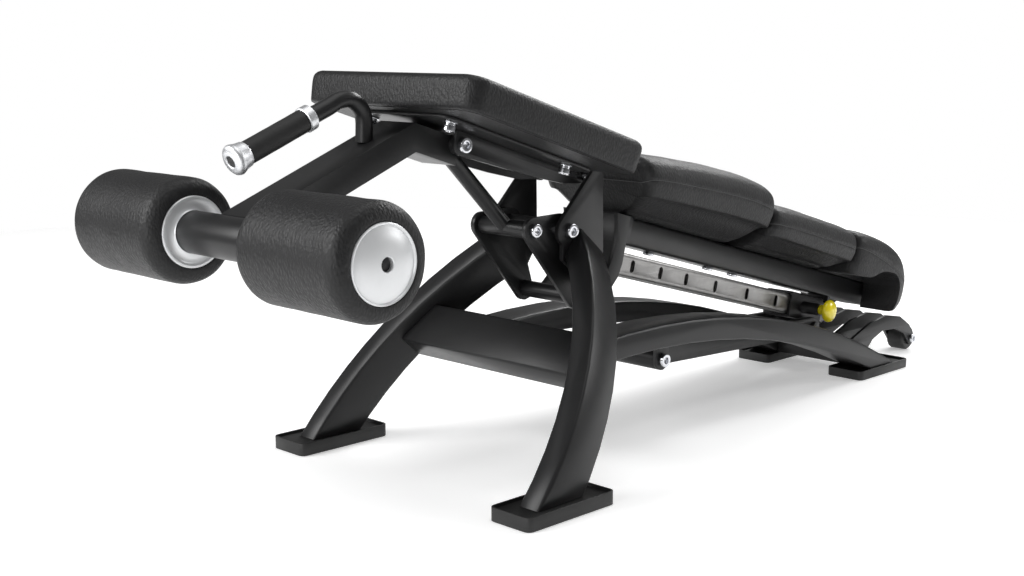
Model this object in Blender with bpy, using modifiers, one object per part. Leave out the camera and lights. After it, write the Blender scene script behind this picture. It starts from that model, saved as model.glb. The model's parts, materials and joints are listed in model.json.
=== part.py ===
"""Adjustable utility bench with leg rollers, modelled at real size in metres, +Z up.

Bench coordinates: X runs to the side, Y from the front feet to the head end, and Z up
from the floor. The root empty moves them so that the origin lies under the middle of
the bench. The backrest turns on a bolt between two mast plates, and C-shaped cranks
carry it round the seat's pivot. A strut from the cranks lowers the seat and the roller
arm as the backrest rises. A prop holds a housing that slides on the slotted ladder bar.
"""

import math

import bmesh
import bpy
from mathutils import Matrix, Vector

# Clearances
GAP = 0.0003
RUNNING_GAP = 0.0006
SLIDE_GAP = 0.0010

# Stock and fasteners
STOCK = 0.040
ROUNDING = 0.005
BOLT_RADIUS = 0.008
HEAD = (0.0115, 0.009)
SMALL_BOLT = (0.005, 0.010, 0.0055)
ROUND_STEPS = 16

# Front feet, legs and cross tube
FRONT_FOOT = (0.080, 0.1814, 0.021)
FRONT_FOOT_X = 0.2558
FOOT_CORNER = 0.010
POCKET_DEPTH = 0.005
FOOT_RIM = 0.0035
LEG_DEPTH = 0.076
LEG_LEAN = math.radians(40.2)
LEG_BASE_Y = 0.0247
LEG_OUTER_RADIUS = 0.635
LEG_CENTRE = (-0.3586, 0.027)
LEG_STEPS = 12
CROSS_RANGE = (0.240, 0.316)
CROSS_FRONT = 0.021

# Mast plates
MAST_X = (0.0705, 0.0785)
MAST_LOW = ((0.3965, 0.325), (0.3600, 0.272), (0.3000, 0.322))
BACK_BOSS = 0.026
SEAT_EAR = 0.014

# Pivots, each a (Y, Z) place
BACK_PIVOT = (0.315, 0.3674)
STRUT_LOW_PIVOT = (0.2514, 0.3717)
TIE_PLACE = (0.350, 0.2548)
STRUT_HIGH_PIVOT = (0.1076, 0.5121)
SEAT_PIVOT = (0.380, 0.450)
PROP_PIVOT = (0.551, 0.120)
SEAT_SHAFT_RADIUS = 0.0095
SLEEVE_RADIUS = 0.0137

# Rear rails, feet and wheel bracket
RAIL_X = (0.0749, 0.1459)
RAIL_RADIUS = 1.73
RAIL_CREST = (0.45, 0.202)
RAIL_STEPS = 14
REAR_FOOT = (0.080, 0.1812, 0.018)
REAR_FOOT_X = 0.1104
REAR_FOOT_Y = 1.0938
LUG_X = (0.0755, 0.0815)
LUG_RADIUS = 0.018
REAR_TIE = ((1.130, 0.0185), (1.190, 0.0520))
WHEEL_PLACE = (1.420, 0.027)
WHEEL_RADIUS = 0.0265
WHEEL_X = (0.0290, 0.0680)
HOOK_PLATES = (0.0225, 0.0685)
HOOK_THICKNESS = 0.006
HOOK_TOP = ((1.145, 0.045), (1.190, 0.064), (1.250, 0.084), (1.315, 0.092), (1.370, 0.082), (1.410, 0.059))
HOOK_LOW = ((1.388, 0.043), (1.350, 0.058), (1.300, 0.061), (1.260, 0.048), (1.230, 0.022))

# Backrest, along A from the pivot and B square to it
BACK_TILT = math.radians(15)
CRANK_X = (0.0535, 0.0615)
CRANK_HUB = 0.026
CRANK_BOSS = 0.020
CRANK_NOTCH = 0.137
CRANK_LOW = ((0.150, -0.075), (0.190, -0.052), (0.215, -0.030))
CRANK_HIGH = ((0.215, 0.050), (0.1275, 0.050))
WEB_POINTS = ((0.0781, -0.0901), (0.0252, -0.0063))
HUB_TUBE_RADIUS = 0.016
NECK_A = (0.142, 0.182)
NECK_B = (0.0040, 0.0515)
NECK_HALF = 0.0532
TUBE_HALF = 0.030
TUBE_A = (0.160, 1.020)
TUBE_B = (0.005, 0.052)
LADDER_A = (0.1503, 0.8747)
LADDER_B = (-0.0485, -0.0085)
LADDER_HALF = 0.025
LADDER_WALL = 0.003
HANGER_THICKNESS = 0.008
SLOT_PLACES = (0.2352, 0.3153, 0.3922, 0.4836, 0.5876, 0.6887, 0.7810)
SLOT_SIZE = (0.011, 0.022)
PAD_BOLT_PLACES = (0.3025, 0.4818, 0.5628)

# Slider housing, pull pin and prop
HOUSING_A = (0.735, 0.850)
HOUSING_WALL = 0.005
PIN_A = 0.781
PIN_RADIUS = 0.005
BARREL = (0.012, 0.0700)
KNOB_RADIUS = 0.020
PROP_TOP = (0.795, -0.063)
PROP_STUB = (0.012, 0.0400)
PROP_X = (0.0403, 0.0523)
PROP_RADIUS = 0.018
PROP_SLEEVE_END = 0.0750

# Seat, along A towards the head end and B square to the pad
SEAT_TILT = math.radians(17.5)
SEAT_REAR_EDGE = (0.3645, 0.4575)
SEAT_LENGTH = 0.385
SEAT_HALF_WIDTH = 0.187
SEAT_DRAW_IN = 0.012
SEAT_THICKNESS = 0.050
SEAT_CORNER = 0.030
SEAT_PLATE_B = (-0.0053, -0.0003)
SEAT_PLATE_A = (-0.350, -0.020)
SEAT_PLATE_HALF = 0.105
SEAT_BRACKET_X = (0.0460, 0.0530)
SEAT_BOLT_X = 0.087
SEAT_BOLT_A = (-0.325, -0.0715)

# Roller arm, rollers and handle
ARM_HALF = 0.038
ARM_SLOPE = math.radians(22)
ARM_TOP_HEIGHT = 0.5365
ARM_TURN_Y = 0.028
ROLLER_PLACE = (-0.2593, 0.4035)
ROLLER_X = (0.1085, 0.3089)
FOAM_RADIUS = 0.075
FOAM_SHOULDER = 0.020
CAP_RADIUS = 0.0507
CAP_DEPTH = 0.004
AXLE_RADII = (0.030, 0.0115, 0.0085)
AXLE_ENDS = (0.1065, 0.2995, 0.3095)
ROLLER_STEPS = 28
HANDLE_LINE = ((-0.036, 0.505), (-0.035, 0.550), (-0.0375, 0.563), (-0.045, 0.573), (-0.056, 0.5805))
HANDLE_LINE += ((-0.068, 0.583), (-0.084, 0.580), (-0.100, 0.5725), (-0.127, 0.5615), (-0.2550, 0.5087))
HANDLE_RADIUS = 0.0125
COLLAR = (0.0185, 0.014)
GRIP_RADIUS = 0.0165
GRIP_LENGTH = 0.1030
END_CAP_RADIUS = 0.022
END_CAP_LENGTH = 0.026

BENCH_FRONT = ROLLER_PLACE[0] - FOAM_RADIUS
BENCH_BACK = WHEEL_PLACE[0] + WHEEL_RADIUS

SIDEWAYS = Matrix(((0, 0, 1, 0), (1, 0, 0, 0), (0, 1, 0, 0), (0, 0, 0, 1)))
ENDWAYS = Matrix(((-1, 0, 0, 0), (0, 0, 1, 0), (0, 1, 0, 0), (0, 0, 0, 1)))
LEG_PLANE = Matrix.Translation((0, LEG_BASE_Y, 0)) @ Matrix.Rotation(math.pi / 2 - LEG_LEAN, 4, "X")
BACK_PLANE = Matrix.Translation((0, *BACK_PIVOT)) @ Matrix.Rotation(-BACK_TILT, 4, "X")
SEAT_PLANE = Matrix.Translation((0, *SEAT_REAR_EDGE)) @ Matrix.Rotation(-SEAT_TILT, 4, "X")
BACK_SIDE = BACK_PLANE @ SIDEWAYS
SEAT_SIDE = SEAT_PLANE @ SIDEWAYS


def start_scene():
    """Clears the scene and makes the collections for the parts and for their cutters."""
    for obj in list(bpy.data.objects):
        bpy.data.objects.remove(obj, do_unlink=True)
    found = []
    for name in ("utility_bench", "cutters"):
        made = bpy.data.collections.new(name)
        bpy.context.scene.collection.children.link(made)
        found.append(made)
    return found


PARTS, CUTTERS = start_scene()


def make_material(name, color, roughness, metallic=0.0):
    made = bpy.data.materials.new(name)
    made.use_nodes = True
    shader = made.node_tree.nodes["Principled BSDF"]
    shader.inputs["Base Color"].default_value = (*color, 1)
    shader.inputs["Roughness"].default_value = roughness
    shader.inputs["Metallic"].default_value = metallic
    return made


PAINT = make_material("black_paint", (0.035, 0.035, 0.037), 0.45)
VINYL = make_material("black_vinyl", (0.022, 0.022, 0.023), 0.55)
RUBBER = make_material("black_rubber", (0.015, 0.015, 0.015), 0.80)
CHROME = make_material("chrome", (0.80, 0.81, 0.84), 0.12, 1.0)
SILVER = make_material("silver_cap", (0.62, 0.63, 0.65), 0.35, 0.6)
BRUSHED = make_material("brushed_steel", (0.55, 0.54, 0.52), 0.38, 1.0)
YELLOW = make_material("yellow_plastic", (0.85, 0.68, 0.02), 0.25)


def empty(name, place, parent=None):
    made = bpy.data.objects.new(name, None)
    PARTS.objects.link(made)
    made.empty_display_size = 0.05
    made.location = place
    if parent:
        made.parent = parent
        made.matrix_parent_inverse = Matrix.Identity(4)
    return made


PIN_PLACE = BACK_PLANE @ Vector((0, PIN_A, sum(LADDER_B) / 2))
ROOT = empty("bench_origin", (0, -(BENCH_FRONT + BENCH_BACK) / 2, 0))
FRAME = empty("frame_body", (0, 0, 0), ROOT)
BACKREST = empty("backrest_axis", (0, *BACK_PIVOT), ROOT)
SEAT = empty("seat_axis", (0, *SEAT_PIVOT), ROOT)
ARM = empty("roller_arm_axis", (0, *STRUT_HIGH_PIVOT), ROOT)
PROP = empty("prop_axis", (0, *PROP_PIVOT), ROOT)
ROLLER = empty("roller_axis", (0, *ROLLER_PLACE), ROOT)
WHEEL = empty("wheel_axis", (0, *WHEEL_PLACE), ROOT)
SLIDER = empty("slider_axis", PIN_PLACE, ROOT)
PIN = empty("pull_pin_axis", PIN_PLACE, ROOT)


def add(name, mesh, matrix, body, material, smooth=True):
    """Links a mesh as an object, in bench coordinates, under the empty on its joint's axis."""
    mesh.name = name
    mesh.materials.clear()
    mesh.materials.append(material)
    if smooth:
        mesh.shade_smooth()
        mesh.set_sharp_from_angle(angle=math.radians(30))
    made = bpy.data.objects.new(name, mesh)
    PARTS.objects.link(made)
    made.parent = body
    made.matrix_parent_inverse = Matrix.Translation(-body.location)
    made.matrix_basis = matrix
    return made


def to_mesh(name, work):
    bmesh.ops.recalc_face_normals(work, faces=work.faces)
    mesh = bpy.data.meshes.new(name)
    work.to_mesh(mesh)
    work.free()
    return mesh


def combine(target, other, operation="UNION"):
    """Cuts the other object from the target, or joins it on, with an exact Boolean."""
    other.hide_render = True
    other.display_type = "WIRE"
    PARTS.objects.unlink(other)
    CUTTERS.objects.link(other)
    boolean = target.modifiers.new(other.name, "BOOLEAN")
    boolean.operation = operation
    boolean.solver = "EXACT"
    boolean.object = other
    return target


def arc(centre, radius, start, end, steps=6):
    """Points on an arc, by angles in degrees, counted from the first axis."""
    points = []
    for step in range(steps + 1):
        angle = math.radians(start + (end - start) * step / steps)
        points.append((centre[0] + radius * math.cos(angle), centre[1] + radius * math.sin(angle)))
    return points


def circle(centre, radius, steps=ROUND_STEPS):
    return arc(centre, radius, 0, 360 - 360 / steps, steps - 1)


def rounded_box(low, high, radius, steps=3):
    """A rectangle's outline with round corners."""
    (x0, y0), (x1, y1) = low, high
    outline = arc((x1 - radius, y1 - radius), radius, 0, 90, steps)
    outline += arc((x0 + radius, y1 - radius), radius, 90, 180, steps)
    outline += arc((x0 + radius, y0 + radius), radius, 180, 270, steps)
    outline += arc((x1 - radius, y0 + radius), radius, 270, 360, steps)
    return outline


def local(plane, place):
    """The A and B coordinates, in a tilted plane, of a bench (Y, Z) place."""
    found = plane.inverted() @ Vector((0, *place))
    return (found.y, found.z)


def ordered(side, ends):
    return sorted((side * ends[0], side * ends[1]))


def curve_mesh(curve):
    guide = bpy.data.objects.new("guide", curve)
    PARTS.objects.link(guide)
    bpy.context.view_layer.update()
    seen = guide.evaluated_get(bpy.context.evaluated_depsgraph_get())
    mesh = bpy.data.meshes.new_from_object(seen)
    bpy.data.objects.remove(guide, do_unlink=True)
    return mesh


def plate(name, loops, ends, matrix, body, material):
    """A flat outline with its holes, thickened between two places on the local Z axis."""
    low, high = ends
    curve = bpy.data.curves.new(name, "CURVE")
    curve.dimensions = "2D"
    curve.fill_mode = "BOTH"
    curve.extrude = (high - low) / 2
    for loop in loops:
        spline = curve.splines.new("POLY")
        spline.points.add(len(loop) - 1)
        for point, (x, y) in zip(spline.points, loop):
            point.co = (x, y, 0, 1)
        spline.use_cyclic_u = True
    work = bmesh.new()
    work.from_mesh(curve_mesh(curve))
    bmesh.ops.remove_doubles(work, verts=work.verts, dist=1e-5)
    bmesh.ops.translate(work, verts=work.verts, vec=(0, 0, (low + high) / 2))
    return add(name, to_mesh(name, work), matrix, body, material)


def bar(name, outline, ends, matrix, body, material, rounding=0.0, cuts=(), segments=2):
    """A solid outline thickened along local Z, with round edges, then cut off at flat planes."""
    work = bmesh.new()
    face = work.faces.new([work.verts.new((x, y, ends[0])) for x, y in outline])
    swept = bmesh.ops.extrude_face_region(work, geom=[face])
    moved = [item for item in swept["geom"] if isinstance(item, bmesh.types.BMVert)]
    bmesh.ops.translate(work, verts=moved, vec=(0, 0, ends[1] - ends[0]))
    bmesh.ops.recalc_face_normals(work, faces=work.faces)
    if rounding:
        sharp = [edge for edge in work.edges if edge.calc_face_angle(0) > math.radians(30)]
        bmesh.ops.bevel(work, geom=sharp, offset=rounding, segments=segments, profile=0.5, affect="EDGES")
    for point, normal in cuts:
        everything = list(work.verts) + list(work.edges) + list(work.faces)
        bmesh.ops.bisect_plane(work, geom=everything, plane_co=point, plane_no=normal, clear_outer=True, dist=1e-6)
        bmesh.ops.holes_fill(work, edges=[edge for edge in work.edges if edge.is_boundary], sides=0)
    return add(name, to_mesh(name, work), matrix, body, material)


def turned(name, profile, matrix, body, material, steps=ROUND_STEPS, ring=False):
    """A turned piece: (radius, place along local Z) points, from the top down the outside."""
    work = bmesh.new()
    points = [work.verts.new((radius, 0, along)) for radius, along in profile]
    ends = points[1:] + points[:1] if ring else points[1:]
    for start, end in zip(points, ends):
        work.edges.new((start, end))
    mesh = bpy.data.meshes.new(name)
    work.to_mesh(mesh)
    work.free()
    made = add(name, mesh, matrix, body, material, smooth=False)
    screw = made.modifiers.new("turn", "SCREW")
    screw.axis = "Z"
    screw.steps = steps
    screw.render_steps = steps
    screw.use_merge_vertices = True
    screw.merge_threshold = 1e-5
    screw.use_smooth_shade = True
    return made


def crosswise(place):
    """Local Z along the bench's X axis, through a (Y, Z) place."""
    return Matrix.Translation((0, *place)) @ SIDEWAYS


def rod(name, place, ends, radius, body, material, bore=0.0, steps=ROUND_STEPS):
    """A round bar or tube along X."""
    low, high = ends
    if bore:
        profile = [(radius, high), (radius, low), (bore, low), (bore, high)]
    else:
        profile = [(0, high), (radius, high), (radius, low), (0, low)]
    return turned(name, profile, crosswise(place), body, material, steps, ring=bool(bore))


def bolt(name, matrix, shank_end, head_start, radius, head, body):
    """A socket-head bolt on local Z, from its shank's end to a head on the outer side."""
    out = 1 if head_start > shank_end else -1
    head_radius, head_length = head
    socket = head_radius * 0.5
    floor = head_start + out * head_length * 0.5
    tip = head_start + out * head_length
    profile = [
        (0, floor), (socket, floor), (socket, tip), (head_radius, tip), (head_radius, head_start),
        (radius, head_start), (radius, shank_end), (0, shank_end),
    ]
    return turned(name, profile if out > 0 else profile[::-1], matrix, body, CHROME, 14)


def pivot_bolt(name, place, reach, body, collar=None):
    """A bolt through two plates, with a head at both ends and spacer collars where they are named."""
    radius, length = HEAD
    socket = radius * 0.5
    half = [(0, reach + length / 2), (socket, reach + length / 2), (socket, reach + length)]
    half += [(radius, reach + length), (radius, reach), (BOLT_RADIUS, reach)]
    if collar:
        size, inner, outer = collar
        half += [(BOLT_RADIUS, outer), (size, outer), (size, inner), (BOLT_RADIUS, inner)]
    profile = half + [(ring, -along) for ring, along in reversed(half)]
    return turned(name, profile, crosswise(place), body, CHROME)


def leg_x(radius, height):
    """Side place of the leg's arc, at a height along the leg plane."""
    return LEG_CENTRE[0] + math.sqrt(radius**2 - (height - LEG_CENTRE[1]) ** 2)


def rail_z(y, drop=0.0):
    """Height of the rail's top arc, or of an arc below it with the same centre."""
    radius = RAIL_RADIUS - drop
    return RAIL_CREST[1] - RAIL_RADIUS + math.sqrt(radius**2 - (y - RAIL_CREST[0]) ** 2)


def mirrored(points, side):
    return [(x * side, y) for x, y in points]


def foot(name, size, centre):
    """A rubber foot with a raised rim round the pocket that the tube stands in."""
    width, length, height = size
    matrix = Matrix.Translation((*centre, 0))
    outline = rounded_box((-width / 2, -length / 2), (width / 2, length / 2), FOOT_CORNER)
    made = bar(name, outline, (0, height), matrix, FRAME, RUBBER)
    half_x, half_y = width / 2 - FOOT_RIM, length / 2 - FOOT_RIM
    pocket = rounded_box((-half_x, -half_y), (half_x, half_y), FOOT_CORNER - FOOT_RIM)
    cutter = bar(name + "_pocket", pocket, (height - POCKET_DEPTH, height + 0.01), matrix, FRAME, RUBBER)
    return combine(made, cutter, "DIFFERENCE")


def build_front_frame():
    inner_radius = LEG_OUTER_RADIUS - STOCK
    mast_face = MAST_X[1] + GAP
    to_leg = LEG_PLANE.inverted()
    floor_point = to_leg @ Vector((0, 0, FRONT_FOOT[2] - POCKET_DEPTH + GAP))
    floor_normal = to_leg.to_3x3() @ Vector((0, 0, -1))
    heights = [-0.03 + 0.57 * step / LEG_STEPS for step in range(LEG_STEPS + 1)]
    outline = [(leg_x(LEG_OUTER_RADIUS, height), height) for height in heights]
    outline += [(leg_x(inner_radius, height), height) for height in reversed(heights)]
    mast = arc(SEAT_PIVOT, SEAT_EAR, 0, 138, 8) + arc(BACK_PIVOT, BACK_BOSS, 138, 235, 7)
    mast += reversed(MAST_LOW)
    hole = circle(BACK_PIVOT, BOLT_RADIUS + GAP)
    for side, hand in ((-1, "left"), (1, "right")):
        foot(f"front_foot_{hand}", FRONT_FOOT, (side * FRONT_FOOT_X, FRONT_FOOT[1] / 2))
        cuts = [(floor_point, floor_normal), ((side * mast_face, 0, 0), (-side, 0, 0))]
        leg = mirrored(outline, side)
        bar(f"front_leg_{hand}", leg, (-LEG_DEPTH, 0), LEG_PLANE, FRAME, PAINT, ROUNDING, cuts)
        plate(f"mast_plate_{hand}", [mast, hole], ordered(side, MAST_X), SIDEWAYS, FRAME, PAINT)
    low, high = CROSS_RANGE
    low_x = leg_x(inner_radius, low) - 2 * GAP
    high_x = leg_x(inner_radius, high) - 2 * GAP
    outline = [(-0.26, low), (0.26, low), (0.26, high), (-0.26, high)]
    cuts = []
    for side in (-1, 1):
        cuts.append(((side * low_x, low, 0), (side * (high - low), low_x - high_x, 0)))
    ends = (-LEG_DEPTH, -CROSS_FRONT)
    bar("front_cross_tube", outline, ends, LEG_PLANE, FRAME, PAINT, ROUNDING, cuts)
    inner = MAST_X[0] - GAP
    rod("seat_pivot_shaft", SEAT_PIVOT, (-inner, inner), SEAT_SHAFT_RADIUS, FRAME, CHROME)
    collar = (0.014, CRANK_X[1] + RUNNING_GAP, MAST_X[0] - GAP)
    pivot_bolt("backrest_pivot_bolt", BACK_PIVOT, MAST_X[1] + GAP, FRAME, collar)


def build_rear_frame():
    to_side = SIDEWAYS.inverted()
    cross_back = to_side @ (LEG_PLANE @ Vector((0, 0, -LEG_DEPTH - GAP)))
    cross_normal = to_side.to_3x3() @ (LEG_PLANE.to_3x3() @ Vector((0, 0, 1)))
    floor_cut = ((0, REAR_FOOT[2] - POCKET_DEPTH + GAP, 0), (0, -1, 0))
    places = [0.15 + 1.12 * step / RAIL_STEPS for step in range(RAIL_STEPS + 1)]
    outline = [(y, rail_z(y)) for y in places] + [(y, rail_z(y, STOCK)) for y in reversed(places)]
    y, z = PROP_PIVOT
    lug = [(y + LUG_RADIUS, z + 0.050), (y - LUG_RADIUS, z + 0.050)] + arc(PROP_PIVOT, LUG_RADIUS, 180, 360, 12)
    for side, hand in ((-1, "left"), (1, "right")):
        foot(f"rear_foot_{hand}", REAR_FOOT, (side * REAR_FOOT_X, REAR_FOOT_Y + REAR_FOOT[1] / 2))
        cuts = [(cross_back, cross_normal), floor_cut]
        ends = ordered(side, RAIL_X)
        rail = bar(f"rear_rail_{hand}", outline, ends, SIDEWAYS, FRAME, PAINT, ROUNDING, cuts)
        ends = ordered(side, LUG_X)
        hole = circle(PROP_PIVOT, BOLT_RADIUS + GAP)
        combine(rail, plate(f"prop_lug_{hand}", [lug, hole], ends, SIDEWAYS, FRAME, PAINT))
    pivot_bolt("prop_pivot_bolt", PROP_PIVOT, LUG_X[1] + GAP, FRAME)
    build_wheels()


def build_wheels():
    """The rear cross tube with four gooseneck plates, and a transport wheel in each pair."""
    half = RAIL_X[0] - GAP
    low, high = REAR_TIE
    tie = [low, (high[0], low[1]), high, (low[0], high[1])]
    bracket = bar("wheel_bracket", tie, (-half, half), SIDEWAYS, FRAME, PAINT, 0.003)
    bore = 0.0055
    outline = [(1.145, 0.0220), *HOOK_TOP, *arc(WHEEL_PLACE, 0.014, 50, -110, 8), *HOOK_LOW]
    hole = circle(WHEEL_PLACE, bore + GAP, 16)
    for side, hand in ((-1, "left"), (1, "right")):
        for number, start in enumerate(HOOK_PLATES):
            ends = ordered(side, (start, start + HOOK_THICKNESS))
            hook = plate(f"hook_plate_{number}_{hand}", [outline, hole], ends, SIDEWAYS, FRAME, PAINT)
            combine(bracket, hook)
    for side, hand in ((-1, "left"), (1, "right")):
        shank_end = side * HOOK_PLATES[0]
        head_start = side * (HOOK_PLATES[1] + HOOK_THICKNESS + GAP)
        bolt(f"wheel_bolt_{hand}", crosswise(WHEEL_PLACE), shank_end, head_start, bore, (0.0095, 0.007), FRAME)
        low, high = ordered(side, WHEEL_X)
        inner, soft = bore + RUNNING_GAP, 0.004
        profile = [
            (WHEEL_RADIUS - soft, high), (WHEEL_RADIUS, high - soft), (WHEEL_RADIUS, low + soft),
            (WHEEL_RADIUS - soft, low), (inner, low), (inner, high),
        ]
        turned(f"transport_wheel_{hand}", profile, crosswise(WHEEL_PLACE), WHEEL, RUBBER, ring=True)


def crank_outline():
    """The crank in A and B: a strut boss, a tie boss, and an arm round the seat pivot's path."""
    strut = local(BACK_PLANE, STRUT_LOW_PIVOT)
    tie = local(BACK_PLANE, TIE_PLACE)
    outline = arc((0, 0), CRANK_HUB, -14, 106.5, 6)
    outline += arc(strut, CRANK_BOSS, 106.5, 235.1, 6)
    outline += arc(tie, CRANK_BOSS, 235.1, 285.8, 3)
    outline += [*CRANK_LOW, *CRANK_HIGH]
    outline += arc((0, 0), CRANK_NOTCH, 18, -40, 8)
    outline += WEB_POINTS
    return outline[:-1]


def box_bar(name, a_range, b_range, half, body, material, rounding=0.0):
    """A plain block in the backrest's plane, centred on X."""
    (a0, a1), (b0, b1) = a_range, b_range
    outline = [(a0, b0), (a1, b0), (a1, b1), (a0, b1)]
    return bar(name, outline, (-half, half), BACK_SIDE, body, material, rounding)


def build_backrest_frame():
    strut = local(BACK_PLANE, STRUT_LOW_PIVOT)
    holes = [circle((0, 0), BOLT_RADIUS + RUNNING_GAP), circle(strut, BOLT_RADIUS + GAP)]
    inside = CRANK_X[0] - GAP
    for side, hand in ((-1, "left"), (1, "right")):
        ends = ordered(side, CRANK_X)
        plate(f"crank_plate_{hand}", [crank_outline(), *holes], ends, BACK_SIDE, BACKREST, PAINT)
        shank_end, head_start = side * CRANK_X[0], side * (CRANK_X[1] + GAP)
        matrix = crosswise(STRUT_LOW_PIVOT)
        bolt(f"strut_stub_bolt_{hand}", matrix, shank_end, head_start, BOLT_RADIUS, (0.011, 0.0075), BACKREST)
    bore = BOLT_RADIUS + RUNNING_GAP
    rod("crank_hub_tube", BACK_PIVOT, (-inside, inside), HUB_TUBE_RADIUS, BACKREST, PAINT, bore)
    rod("crank_tie_tube", TIE_PLACE, (-inside, inside), SLEEVE_RADIUS, BACKREST, PAINT)

    tube = box_bar("back_tube", TUBE_A, TUBE_B, TUBE_HALF, BACKREST, PAINT, ROUNDING)
    combine(tube, box_bar("back_neck", NECK_A, NECK_B, NECK_HALF, BACKREST, PAINT, 0.002))
    low = LADDER_B[0]
    front = (LADDER_A[0] - HANGER_THICKNESS + 0.0008, LADDER_A[0] - GAP)
    combine(tube, box_bar("front_hanger", front, (low, 0.020), NECK_HALF - 0.004, BACKREST, PAINT))
    rear = (LADDER_A[1] + GAP, LADDER_A[1] + HANGER_THICKNESS)
    combine(tube, box_bar("rear_hanger", rear, (low, 0.020), LADDER_HALF, BACKREST, PAINT))
    shank, head, length = SMALL_BOLT
    for number, place in enumerate(PAD_BOLT_PLACES, 1):
        along = BACK_PLANE @ Matrix.Translation((0, place, 0))
        profile = [(0, 0.025), (shank + GAP, 0.025), (shank + GAP, -0.005), (0, -0.005)]
        hole = turned(f"tube_bolt_hole_{number}", profile, along, BACKREST, PAINT, 16)
        combine(tube, hole, "DIFFERENCE")
        bolt(f"tube_bolt_{number}", along, 0.020, TUBE_B[0] - GAP, shank, (head, length), BACKREST)
    build_ladder()


def build_ladder():
    """The slotted bar under the backrest tube."""
    low, high = LADDER_B
    half, wall = LADDER_HALF, LADDER_WALL
    ring = [
        rounded_box((-half, low), (half, high), 0.004, 2),
        rounded_box((-half + wall, low + wall), (half - wall, high - wall), 0.001, 1),
    ]
    ladder = plate("ladder_bar", ring, LADDER_A, BACK_PLANE @ ENDWAYS, BACKREST, BRUSHED)
    middle = (low + high) / 2
    width, height = SLOT_SIZE
    straight = (height - width) / 2
    for number, place in enumerate(SLOT_PLACES, 1):
        slot = arc((place, middle + straight), width / 2, 0, 180, 5)
        slot += arc((place, middle - straight), width / 2, 180, 360, 5)
        ends = (-half - 0.01, half + 0.01)
        combine(ladder, bar(f"slot_{number}", slot, ends, BACK_SIDE, BACKREST, BRUSHED), "DIFFERENCE")


def build_slider():
    """The housing that runs on the ladder bar, with its pull pin, and the prop that holds it up."""
    low, high = LADDER_B
    inner = (low - SLIDE_GAP, high + SLIDE_GAP)
    inner_half = LADDER_HALF + SLIDE_GAP
    outer_half = inner_half + HOUSING_WALL
    ring = [
        rounded_box((-outer_half, inner[0] - HOUSING_WALL), (outer_half, inner[1] + HOUSING_WALL), 0.004, 2),
        rounded_box((-inner_half, inner[0]), (inner_half, inner[1]), 0.001, 1),
    ]
    housing = plate("adjuster_housing", ring, HOUSING_A, BACK_PLANE @ ENDWAYS, SLIDER, PAINT)
    pin_axis = BACK_PLANE @ Matrix.Translation((0, PIN_A, (low + high) / 2)) @ SIDEWAYS
    barrel = [(0, BARREL[1]), (BARREL[0], BARREL[1]), (BARREL[0], inner_half + 0.002), (0, inner_half + 0.002)]
    combine(housing, turned("pin_barrel", barrel, pin_axis, SLIDER, PAINT))
    radius, reach = PROP_STUB
    stub_axis = BACK_PLANE @ Matrix.Translation((0, *PROP_TOP)) @ SIDEWAYS
    stub = [(0, reach), (radius, reach), (radius, -reach), (0, -reach)]
    combine(housing, turned("prop_stub", stub, stub_axis, SLIDER, PAINT))
    room = box_bar("bar_room", (0.70, 0.90), inner, inner_half, SLIDER, PAINT)
    combine(housing, room, "DIFFERENCE")
    bore = PIN_RADIUS + RUNNING_GAP
    hole = [(0, 0.09), (bore, 0.09), (bore, inner_half - 0.002), (0, inner_half - 0.002)]
    combine(housing, turned("pin_hole", hole, pin_axis, SLIDER, PAINT), "DIFFERENCE")
    stem = BARREL[1] + 0.0005
    tip = LADDER_HALF + GAP
    profile = [
        (0, stem + 0.031), (0.011, stem + 0.0297), (0.018, stem + 0.0250), (KNOB_RADIUS, stem + 0.0200),
        (0.0186, stem + 0.0160), (0.012, stem + 0.0130), (0.010, stem + 0.0100), (0.010, stem),
        (PIN_RADIUS, stem), (PIN_RADIUS, tip + 0.0015), (PIN_RADIUS - 0.0015, tip), (0, tip),
    ]
    turned("pull_pin", profile, pin_axis, PIN, YELLOW)
    build_prop()


def build_prop():
    """Two arms on one sleeve, held between the rear rails."""
    top = BACK_PLANE @ Vector((0, *PROP_TOP))
    top = (top.y, top.z)
    rise = math.degrees(math.atan2(top[1] - PROP_PIVOT[1], top[0] - PROP_PIVOT[0]))
    outline = arc(top, PROP_RADIUS, rise - 90, rise + 90, 10)
    outline += arc(PROP_PIVOT, PROP_RADIUS - 0.001, rise + 90, rise + 270, 10)
    sleeve = rod("prop", PROP_PIVOT, (-PROP_SLEEVE_END, PROP_SLEEVE_END), PROP_RADIUS, PROP, PAINT)
    for side, hand in ((-1, "left"), (1, "right")):
        ends = ordered(side, PROP_X)
        combine(sleeve, plate(f"prop_arm_{hand}", [outline], ends, SIDEWAYS, PROP, PAINT))
        ends = ordered(side, (PROP_X[0] + 0.004, PROP_X[1] + 0.008))
        combine(sleeve, rod(f"prop_stud_{hand}", top, ends, 0.0105, PROP, PAINT))
    cutter = rod("prop_bore", PROP_PIVOT, (-0.1, 0.1), BOLT_RADIUS + RUNNING_GAP, PROP, PAINT)
    combine(sleeve, cutter, "DIFFERENCE")


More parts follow.
